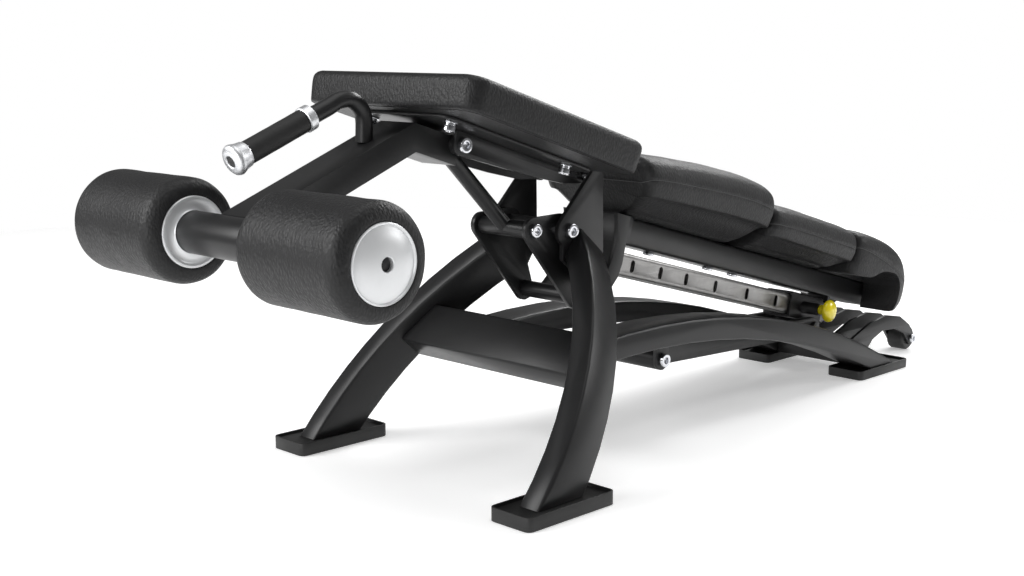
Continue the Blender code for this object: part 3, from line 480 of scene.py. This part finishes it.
def dress_nodes():
    """Gives each CAD node its material and softened edges."""
    looks = {
        "black_paint": (PAINT, EDGE),
        "black_vinyl": (VINYL, 0),
        "black_rubber": (RUBBER, EDGE),
        "chrome": (CHROME, 0.0007),
        "silver_cap": (SILVER, 0.0005),
        "brushed_steel": (BRUSHED, 0.0003),
        "yellow_plastic": (YELLOW, 0),
    }
    for entry in frame["record"]["subparts"]:
        material, width = looks[entry["material_slot"]]
        node = frame["nodes"][entry["node"]]
        for held in node.material_slots:
            held.material = material
        soften(node, width)
    for name in ("wheel_bracket", "adjuster_housing", "prop"):
        frame["nodes"][name].modifiers["bevel"].width = THIN_EDGE


# ---------------------------------------------------------------- seat pad

def rounded_ring(half, low, high, radius, height):
    """A rectangle with rounded corners, from low to high along the seat."""
    points = []
    for x, y, start in ((1, 1, 0), (-1, 1, 90), (-1, -1, 180), (1, -1, 270)):
        centre = (x * (half - radius), (high if y > 0 else low) - y * radius)
        points += arc(centre, radius, start, start + 90)
    return [(px, py, height) for px, py in points]


def build_seat_pad():
    """The seat's cushion, from rings of (inset, height), and the board under it."""
    half, length = 0.1900, 0.389
    corner, least_corner = 0.030, 0.020
    levels = [
        (0.060, 0.0004), (0.016, 0.0003), (0.0075, 0.0003), (0.0048, 0.0014), (0.0038, 0.0045),
        (0.0030, 0.0120), (0.0020, 0.0220), (0.0012, 0.0310), (0.0010, 0.0370), (0.0012, 0.0405),
        (0.0022, 0.0438), (0.0042, 0.0468), (0.0075, 0.0492), (0.0120, 0.0504), (0.0200, 0.0509),
        (0.0400, 0.0514), (0.0700, 0.0518), (0.1100, 0.0520), (0.1500, 0.0521),
    ]
    rings = []
    for inset, height in levels:
        radius = max(corner - inset * 0.5, least_corner)
        rings.append(rounded_ring(half - inset, -length + inset, -inset, radius, height))
    mesh = loft("seat_cushion", rings)
    unevenness(mesh, amount=0.0008, scale=26, seed=3)
    cushion = piece("seat_cushion", mesh, "seat", VINYL, SEAT_PLANE)
    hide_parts("seat_pad")

    inset, corner = 0.0150, 0.022
    rings = [
        rounded_ring(half - inset, -length + inset, -inset, corner, height)
        for height in (-0.0002, 0.0016)
    ]
    piece(
        "seat_board", loft("seat_board", rings), "seat", PLAIN_VINYL, SEAT_PLANE,
        smooth=False,
    )


# ---------------------------------------------------------------- backrest pads

def pad_half(half, crown, seam, rim, under):
    """Half a section, from the crown over the side and its seam to the rim and the tube below."""
    deep = crown - seam
    return [
        (0.0, crown), (half * 0.40, crown - 0.02 * deep), (half * 0.66, crown - 0.08 * deep),
        (half * 0.82, crown - 0.18 * deep), (half * 0.915, crown - 0.32 * deep),
        (half * 0.965, crown - 0.48 * deep), (half * 0.989, crown - 0.66 * deep),
        (half, seam + 0.16 * deep), (half, seam + 0.0018), (half - 0.0016, seam),
        (half, seam - 0.0018), (half * 0.998, seam - 0.0080), (half * 0.985, (seam + rim) / 2),
        (half * 0.960, rim + 0.0030), (half * 0.925, rim - 0.0012), (half * 0.870, rim - 0.0010),
        (half * 0.790, rim - 0.0060), (half * 0.700, TUBE_TOP + (rim - TUBE_TOP) * 0.55),
        (half * 0.600, TUBE_TOP + (rim - TUBE_TOP) * 0.28), (under + 0.008, TUBE_TOP + 0.0050),
        (under, TUBE_TOP + 0.0004), (under * 0.5, TUBE_TOP), (0.0, TUBE_TOP),
    ]


def whole(points):
    """The closed section whose right half is given."""
    return list(points) + [(-x, height) for x, height in reversed(points[1:-1])]


def capped(rings):
    """Adds small rings that close each end in a shallow dome."""
    found = list(rings)
    domes = ((0.965, 0.0011), (0.90, 0.0018), (0.75, 0.0022), (0.5, 0.0024), (0.2, 0.0025))
    for end, after in ((0, 1), (-1, -2)):
        ring = rings[end]
        centre = Vector((0, 0, 0))
        for point in ring:
            centre += Vector(point) / len(ring)
        sign = 1 if ring[0][1] > rings[after][0][1] else -1
        caps = []
        for share, rise in domes:
            lift = Vector((0, sign * rise, 0))
            caps.append([tuple(centre.lerp(Vector(point), share) + lift) for point in ring])
        found = list(reversed(caps)) + found if end == 0 else found + caps
    return found


def stitch(name, seams):
    """A thread round a pad, set into its seam."""
    line = seams + [(-x, y, z) for x, y, z in reversed(seams)]
    wire(
        f"{name}_stitch", line, STITCH_RADIUS, "backrest", THREAD, BACK_PLANE,
        closed=True,
    )


def build_pad(name, node, rows, seed):
    """Rows hold: along, lean, half width, crown, seam, rim, under, tuck."""
    rings, seams = [], []
    for along, lean, half, crown, seam, rim, under, tuck in curve_points(rows, PAD_STEPS):
        outline = whole(pad_half(half, crown, seam, rim, under))
        section = curve_points(outline, SECTION_STEPS, closed=True)
        ring = []
        for x, height in section:
            height = max(height, TUBE_TOP)
            place = along - lean * (height - TUBE_TOP)
            if height < rim:
                place -= tuck * (rim - height)
            ring.append((x, place, height))
        rings.append(ring)
        seams.append((half - STITCH_DEPTH, along - lean * (seam - TUBE_TOP), seam))
    mesh = loft(name, capped(rings))
    unevenness(mesh, amount=0.0010, scale=20, seed=seed)
    pad = piece(name, mesh, "backrest", VINYL, BACK_PLANE)
    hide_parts(node)
    stitch(name, seams)


def build_back_pads():
    lower = [
        (0.149, 0.46, 0.104, 0.1350, 0.104, 0.082, 0.040, -0.2),
        (0.152, 0.46, 0.114, 0.1440, 0.107, 0.083, 0.046, -0.2),
        (0.160, 0.43, 0.122, 0.1520, 0.111, 0.084, 0.050, -0.1),
        (0.185, 0.30, 0.1255, 0.1570, 0.115, 0.086, 0.054, 0.0),
        (0.240, 0.13, 0.127, 0.1650, 0.120, 0.089, 0.055, 0.0),
        (0.320, 0.04, 0.127, 0.1725, 0.125, 0.092, 0.055, 0.0),
        (0.390, 0.00, 0.127, 0.1755, 0.128, 0.094, 0.055, 0.1),
        (0.445, 0.00, 0.126, 0.1735, 0.127, 0.094, 0.055, 0.4),
        (0.473, 0.00, 0.1235, 0.1695, 0.125, 0.093, 0.054, 0.7),
        (0.487, 0.00, 0.119, 0.1640, 0.122, 0.092, 0.052, 0.9),
        (0.4945, 0.00, 0.110, 0.1560, 0.118, 0.091, 0.048, 1.0),
    ]
    middle = [
        (0.4995, 0, 0.110, 0.1310, 0.100, 0.078, 0.046, -0.3),
        (0.503, 0, 0.117, 0.1370, 0.101, 0.079, 0.050, -0.2),
        (0.513, 0, 0.122, 0.1415, 0.102, 0.080, 0.053, -0.1),
        (0.540, 0, 0.1255, 0.1440, 0.1025, 0.080, 0.055, 0),
        (0.600, 0, 0.126, 0.1450, 0.1025, 0.079, 0.055, 0),
        (0.680, 0, 0.126, 0.1450, 0.1020, 0.078, 0.055, 0.1),
        (0.750, 0, 0.1255, 0.1440, 0.1015, 0.077, 0.055, 0.5),
        (0.778, 0, 0.123, 0.1425, 0.1005, 0.076, 0.053, 0.8),
        (0.790, 0, 0.119, 0.1395, 0.0995, 0.075, 0.051, 0.9),
        (0.7955, 0, 0.112, 0.1330, 0.098, 0.074, 0.048, 1.0),
    ]
    build_pad("lower_cushion", "lower_back_pad", lower, 5)
    build_pad("middle_cushion", "middle_back_pad", middle, 9)
    build_head_cushion()


def prism(name, outline, sides):
    """A cutter with an outline in the backrest's A and B, across X."""
    work = bmesh.new()
    low = [work.verts.new((sides[0], a, b)) for a, b in outline]
    high = [work.verts.new((sides[1], a, b)) for a, b in outline]
    work.faces.new(low)
    work.faces.new(list(reversed(high)))
    for number in range(len(outline)):
        following = (number + 1) % len(outline)
        work.faces.new((low[number], high[number], high[following], low[following]))
    mesh = to_mesh(name, work)
    mesh.transform(BACK_PLANE)
    return linked(name, mesh)


def build_head_cushion():
    """The end pad drops round the tube's end, with a scoop in each side.

    Rows hold: along, half width, crown, lower edge.
    """
    rows = [
        (0.8005, 0.112, 0.1330, 0.0560), (0.8040, 0.118, 0.1375, 0.0530),
        (0.8150, 0.1225, 0.1410, 0.0480), (0.8400, 0.125, 0.1425, 0.0400),
        (0.8800, 0.1255, 0.1420, 0.0260), (0.9200, 0.125, 0.1395, 0.0120),
        (0.9550, 0.1235, 0.1330, 0.0020), (0.9820, 0.121, 0.1220, -0.0015),
        (1.0030, 0.117, 0.1060, 0.0030), (1.0180, 0.111, 0.0880, 0.0150),
        (1.0270, 0.102, 0.0710, 0.0300), (1.0310, 0.092, 0.0600, 0.0400),
    ]
    seam = 0.385
    rings, seams = [], []
    for along, half, crown, low in curve_points(rows, PAD_STEPS):
        deep = crown - low
        points = [
            (0, crown), (half * 0.40, crown - deep * 0.005), (half * 0.70, crown - deep * 0.02),
            (half * 0.86, crown - deep * 0.06), (half * 0.945, crown - deep * 0.12),
            (half * 0.985, crown - deep * 0.21), (half, crown - deep * 0.30),
            (half, crown - deep * 0.36), (half - 0.0015, crown - deep * seam),
            (half, crown - deep * 0.41), (half, crown - deep * 0.60),
            (half * 0.985, crown - deep * 0.80), (half * 0.945, crown - deep * 0.93),
            (half * 0.87, low), (half * 0.55, low), (half * 0.25, low), (0, low),
        ]
        section = curve_points(whole(points), SECTION_STEPS, closed=True)
        rings.append([(x, along, height) for x, height in section])
        seams.append((half - STITCH_DEPTH, along, crown - deep * seam))
    mesh = loft("head_cushion", capped(rings))
    unevenness(mesh, amount=0.0010, scale=20, seed=13)
    pad = piece("head_cushion", mesh, "backrest", VINYL, BACK_PLANE)

    scoop = [(0.78, -0.06), (0.990, -0.06), *arc((0.948, 0.034), 0.042, 0, 90, 12), (0.920, 0.0755)]
    scoop += [
        (0.902, 0.0725), (0.886, 0.0665), (0.872, 0.0590), (0.858, 0.0540), (0.840, 0.0525),
        (0.78, 0.0525),
    ]
    socket = [(0.77, -0.07), (1.0215, -0.07), (1.0215, TUBE_TOP), (0.77, TUBE_TOP)]
    cutters = [
        prism("head_scoop_left", scoop, (-0.2, -0.0315)),
        prism("head_scoop_right", scoop, (0.0315, 0.2)),
        prism("head_socket", socket, (-0.034, 0.034)),
    ]
    for cutter in cutters:
        cut = pad.modifiers.new(cutter.name, "BOOLEAN")
        cut.operation = "DIFFERENCE"
        cut.solver = "EXACT"
        cut.object = cutter
    final = final_mesh(pad)
    pad.modifiers.clear()
    pad.data = final
    for cutter in cutters:
        bpy.data.objects.remove(cutter, do_unlink=True)
    soften(pad, PAD_EDGE)
    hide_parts("head_pad")
    stitch("head_cushion", seams)


# ---------------------------------------------------------------- rollers

def mirrored(profile, side):
    """The profile of the roller on the given side."""
    if side > 0:
        return profile
    return [(radius, -along) for radius, along in reversed(profile)]


def build_rollers():
    """Each roller has a foam sleeve, a dished outer cap and an inner cap round the axle."""
    low, high, step_place = 0.0990, 0.3089, 0.1080
    radius, shoulder, cap = 0.075, 0.020, 0.0507
    hub, axle, segments = 0.0310, 0.0125, 24
    for side, hand in ((-1, "left"), (1, "right")):
        body = f"roller_{hand}"
        foam = [(cap + 0.0004, high - 0.0038), (cap + 0.0004, high - 0.0008), (cap + 0.0020, high)]
        outer = arc((high - shoulder, radius - shoulder), shoulder, 0, 90, 14)
        foam += [(across, along) for along, across in outer]
        straight = high - low - 2 * shoulder
        for step in range(1, segments):
            foam.append((radius, high - shoulder - straight * step / segments))
        inner = arc((low + shoulder, radius - shoulder), shoulder, 90, 180, 14)
        foam += [(across, along) for along, across in inner]
        foam += [(cap + 0.0020, low), (cap + 0.0004, low + 0.0008), (cap + 0.0004, low + 0.0038)]
        foam += [(hub, low + 0.0040), (hub, step_place), (axle, step_place), (axle, high - 0.0040)]
        mesh = turn_mesh("foam", mirrored(foam, side))
        unevenness(mesh, amount=0.0007, scale=30, seed=7 + side)
        roll = piece(f"roller_sleeve_{hand}", mesh, body, FOAM, ROLLER_PLANE)
        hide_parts(f"roller_foam_{hand}")

        face = [
            (0.0092, high - 0.0030), (0.0092, high + 0.0052), (0.0100, high + 0.0060),
            (0.0180, high + 0.0055), (0.0280, high + 0.0042), (0.0370, high + 0.0022),
            (0.0440, high - 0.0002), (0.0468, high - 0.0008), (0.0480, high + 0.0010),
            (0.0494, high + 0.0014), (0.0504, high + 0.0006), (0.0505, high - 0.0036),
            (0.030, high - 0.0036),
        ]
        mesh = turn_mesh("cap", mirrored(face, side))
        disc = piece(f"roller_face_{hand}", mesh, body, SILVER, ROLLER_PLANE)
        soften(disc, 0)
        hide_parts(f"roller_outer_cap_{hand}")

        ring = [
            (0.0505, low + 0.0036), (0.0504, low - 0.0002), (0.0493, low - 0.0012),
            (0.0470, low - 0.0012), (0.0455, low + 0.0000), (0.0430, low + 0.0012),
            (0.0370, low + 0.0016), (0.0325, low + 0.0008), (0.0306, low - 0.0008),
            (0.0303, low - 0.0016), (0.0303, low + 0.0036),
        ]
        mesh = turn_mesh("inner", mirrored(ring, side))
        dish = piece(f"roller_dish_{hand}", mesh, body, SILVER, ROLLER_PLANE)
        soften(dish, 0)
        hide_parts(f"roller_inner_cap_{hand}")


# ---------------------------------------------------------------- cranks and seat bolts

def slab(name, loops, ends):
    """A flat outline with its holes, in the backrest's A and B, thickened across X."""
    curve = bpy.data.curves.new(name, "CURVE")
    curve.dimensions = "2D"
    curve.fill_mode = "BOTH"
    curve.extrude = (ends[1] - ends[0]) / 2
    for loop in loops:
        add_spline(curve, [(a, b, 0) for a, b in loop], True)
    mesh = curve_mesh(curve)
    middle = Matrix.Translation((0, 0, (ends[0] + ends[1]) / 2))
    mesh.transform(BACK_PLANE @ SIDEWAYS @ middle)
    return mesh


def build_cranks():
    """The cranks as the photograph shows them, ending nearer the pivot than the CAD plates."""
    to_back = BACK_PLANE.inverted() @ SHIFT
    strut = (to_back @ Vector(STRUT_PIVOT)).yz
    tie = (to_back @ Vector(TIE_CENTRE)).yz
    boss, eye, hollow = 0.026, 0.020, 0.137
    pivot_hole, strut_hole = 0.0086, 0.0083
    outline = arc((0, 0), boss, -14, 106.5, 10)
    outline += arc(strut, eye, 106.5, 235.1, 12)
    outline += arc(tie, eye, 235.1, 285.8, 6)
    outline += [(0.146, -0.074), (0.158, -0.054), (0.163, -0.030), (0.163, 0.050), (0.1275, 0.050)]
    outline += arc((0, 0), hollow, 18, -40, 16)
    outline += [(0.0781, -0.0901)]
    holes = [circle((0, 0), pivot_hole, 24), circle(strut, strut_hole, 24)]
    for side, hand in ((-1, "left"), (1, "right")):
        ends = sorted(side * across for across in CRANK_X)
        mesh = slab("crank", [outline, *holes], ends)
        crank = piece(f"crank_arm_{hand}", mesh, "backrest", PAINT, smooth=False)
        soften(crank, EDGE)
        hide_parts(f"crank_plate_{hand}")


def build_seat_bolts():
    """Each bolt has a washer, a neck and a tall socket head."""
    places = [(side * 0.087, along) for side in (-1, 1) for along in (-0.325, -0.0715)]
    start = -0.0056
    profile = [
        (0, start), (0.0105, start), (0.0108, start - 0.0004), (0.0108, start - 0.0017),
        (0.0104, start - 0.0021), (0.0078, start - 0.0021), (0.0076, start - 0.0060),
        (0.0088, start - 0.0064), (0.0090, start - 0.0072), (0.0090, start - 0.0136),
        (0.0082, start - 0.0146), (0.0048, start - 0.0146), (0.0046, start - 0.0142),
        (0.0046, start - 0.0100), (0, start - 0.0100),
    ]
    for number, (across, along) in enumerate(places, 1):
        matrix = SEAT_PLANE @ Matrix.Translation((across, along, 0))
        mesh = turn_mesh("seat_stud", profile, steps=48, closed=False)
        stud = piece(f"seat_stud_{number}", mesh, "seat", CHROME, matrix)
        soften(stud, 0)
        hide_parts(f"seat_bolt_{number}")


# ---------------------------------------------------------------- handle and knob

def build_handle():
    """A bent tube that ends in a rubber sleeve between a chrome band and an end cap."""
    straight_start, tip = (0, -0.127, 0.5615), (0, -0.2550, 0.5087)
    tube, bore = 0.0125, 0.0128
    line = [
        (-0.036, 0.505), (-0.0355, 0.530), (-0.035, 0.550), (-0.0375, 0.563), (-0.045, 0.573),
        (-0.056, 0.5805), (-0.068, 0.583), (-0.084, 0.580), (-0.100, 0.5725), straight_start[1:],
        tip[1:],
    ]
    points = [(0, y, z) for y, z in curve_points(line, 6)]
    arm_slope, arm_top, overlap = math.tan(math.radians(22)), 0.5365, 0.003
    points = [point for point in points if point[2] > arm_top + arm_slope * point[1] - overlap]
    rod = wire("handle_tube", points, tube, "arm", PAINT, SHIFT, resolution=10)
    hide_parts("handle_rod")

    way = Vector(tip) - Vector(straight_start)
    along = SHIFT @ Matrix.Translation(tip) @ way.to_track_quat("Z", "Y").to_matrix().to_4x4()
    low = -0.018
    cap = [
        (0.0080, 0.0030), (0.0084, 0.0068), (0.0094, 0.0080), (0.0135, 0.0079), (0.0175, 0.0068),
        (0.0205, 0.0046), (0.0219, 0.0018), (0.0220, -0.0004), (0.0212, -0.0030), (0.0196, -0.0080),
        (0.0186, -0.0130), (0.0181, low + 0.0008), (0.0176, low), (bore, low), (bore, 0.0012),
        (0.0080, 0.0012),
    ]
    end = piece("handle_bell", turn_mesh("bell", cap), "arm", SATIN, along)
    soften(end, 0)
    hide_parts("handle_end_cap")
    plug = [(0, 0.0068), (0.0060, 0.0066), (0.0078, 0.0058), (0.0078, 0.0014), (0, 0.0014)]
    piece("handle_plug", turn_mesh("plug", plug), "arm", DARK, along)

    top, bottom, segments = low - 0.0003, low - 0.1033, 26
    grip = [(0.0153, top), (0.0164, top - 0.0014)]
    for step in range(1, segments):
        grip.append((0.0165, top + (bottom - top) * step / segments))
    grip += [(0.0164, bottom + 0.0014), (0.0153, bottom), (bore, bottom), (bore, top)]
    mesh = turn_mesh("grip", grip, steps=64)
    unevenness(mesh, amount=0.0002, scale=60, seed=21)
    sleeve = piece("handle_sleeve", mesh, "arm", GRIP, along)
    soften(sleeve, 0)
    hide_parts("handle_grip")

    start, length = bottom - 0.0003, 0.014
    band = [
        (0.0172, start), (0.0184, start - 0.0010), (0.0185, start - 0.0050),
        (0.0185, start - length + 0.0050), (0.0184, start - length + 0.0010),
        (0.0172, start - length), (bore, start - length), (bore, start),
    ]
    ring = piece("handle_band", turn_mesh("band", band), "arm", SATIN, along)
    soften(ring, 0)
    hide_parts("handle_collar")


def build_knob():
    """The mushroom knob on its chrome stem."""
    axis = BACK_PLANE @ Matrix.Translation(KNOB_PLACE) @ SIDEWAYS
    stem = 0.0705
    head = [
        (0, stem + 0.0310), (0.0045, stem + 0.0308), (0.0095, stem + 0.0301),
        (0.0145, stem + 0.0285), (0.0188, stem + 0.0260), (0.0214, stem + 0.0230),
        (0.0224, stem + 0.0200), (0.0219, stem + 0.0175), (0.0198, stem + 0.0156),
        (0.0150, stem + 0.0140), (0.0112, stem + 0.0122), (0.0102, stem + 0.0098),
        (0.0100, stem + 0.0060), (0.0101, stem + 0.0012), (0.0096, stem + 0.0002),
        (0, stem + 0.0002),
    ]
    mesh = turn_mesh("knob", head, steps=64, closed=False)
    knob = piece("pull_knob", mesh, "pin", YELLOW, axis)
    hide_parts("pull_pin")
    pin = [(0, stem), (0.0049, stem), (0.0049, 0.0270), (0.0036, 0.0256), (0, 0.0256)]
    mesh = turn_mesh("stem", pin, steps=48, closed=False)
    soften(piece("pull_stem", mesh, "pin", CHROME, axis), 0)


# ---------------------------------------------------------------- studio

def area_light(name, place, target, size, power):
    data = bpy.data.lights.new(name, "AREA")
    data.shape = "RECTANGLE"
    data.size, data.size_y = size
    data.energy = power
    made = linked(name, data)
    made.location = place
    way = Vector(target) - Vector(place)
    made.rotation_euler = way.to_track_quat("-Z", "Y").to_euler()


def build_world():
    """White for the camera, and a dimmer white for the light that it gives."""
    world = bpy.data.worlds.new("studio")
    bpy.context.scene.world = world
    world.use_nodes = True
    tree = world.node_tree
    tree.nodes.clear()
    path = tree.nodes.new("ShaderNodeLightPath")
    mix = tree.nodes.new("ShaderNodeMixShader")
    output = tree.nodes.new("ShaderNodeOutputWorld")
    tree.links.new(path.outputs["Is Camera Ray"], mix.inputs[0])
    for socket, strength in ((1, WORLD_LIGHT), (2, WORLD_SEEN)):
        background = tree.nodes.new("ShaderNodeBackground")
        background.inputs["Color"].default_value = (1, 1, 1, 1)
        background.inputs["Strength"].default_value = strength
        tree.links.new(background.outputs[0], mix.inputs[socket])
    tree.links.new(mix.outputs[0], output.inputs["Surface"])


def build_floor():
    """A pale disc just below the feet."""
    work = bmesh.new()
    rim = circle((0, 0), FLOOR_RADIUS, 120)
    work.faces.new([work.verts.new((x, y, -FLOOR_DROP)) for x, y in rim])
    mesh = to_mesh("floor", work)
    made = Nodes("studio_floor")
    made.tint(made.cloud(3, 2), grey(0.93, 0), grey(0.95, 0))
    mesh.materials.append(made.done(Roughness=0.9))
    made.shader.inputs["Emission Color"].default_value = (1, 1, 1, 1)
    made.shader.inputs["Emission Strength"].default_value = FLOOR_GLOW
    linked("floor", mesh)


def build_camera():
    data = bpy.data.cameras.new("camera")
    data.lens = CAMERA_LENS
    data.sensor_width = CAMERA_SENSOR
    data.clip_end = CAMERA_REACH
    camera = linked("camera", data)
    camera.location = CAMERA_PLACE
    turn = (90 - CAMERA_DROP, 0, CAMERA_AZIMUTH)
    camera.rotation_euler = [math.radians(angle) for angle in turn]
    bpy.context.scene.camera = camera
    bpy.context.scene.view_settings.view_transform = "Standard"
    bpy.context.scene.view_settings.look = "None"


def build_studio():
    build_world()
    for light in LIGHTS:
        area_light(*light)
    build_floor()
    build_camera()


build_studio()
dress_nodes()
build_seat_pad()
build_back_pads()
build_rollers()
build_cranks()
build_seat_bolts()
build_handle()
build_knob()
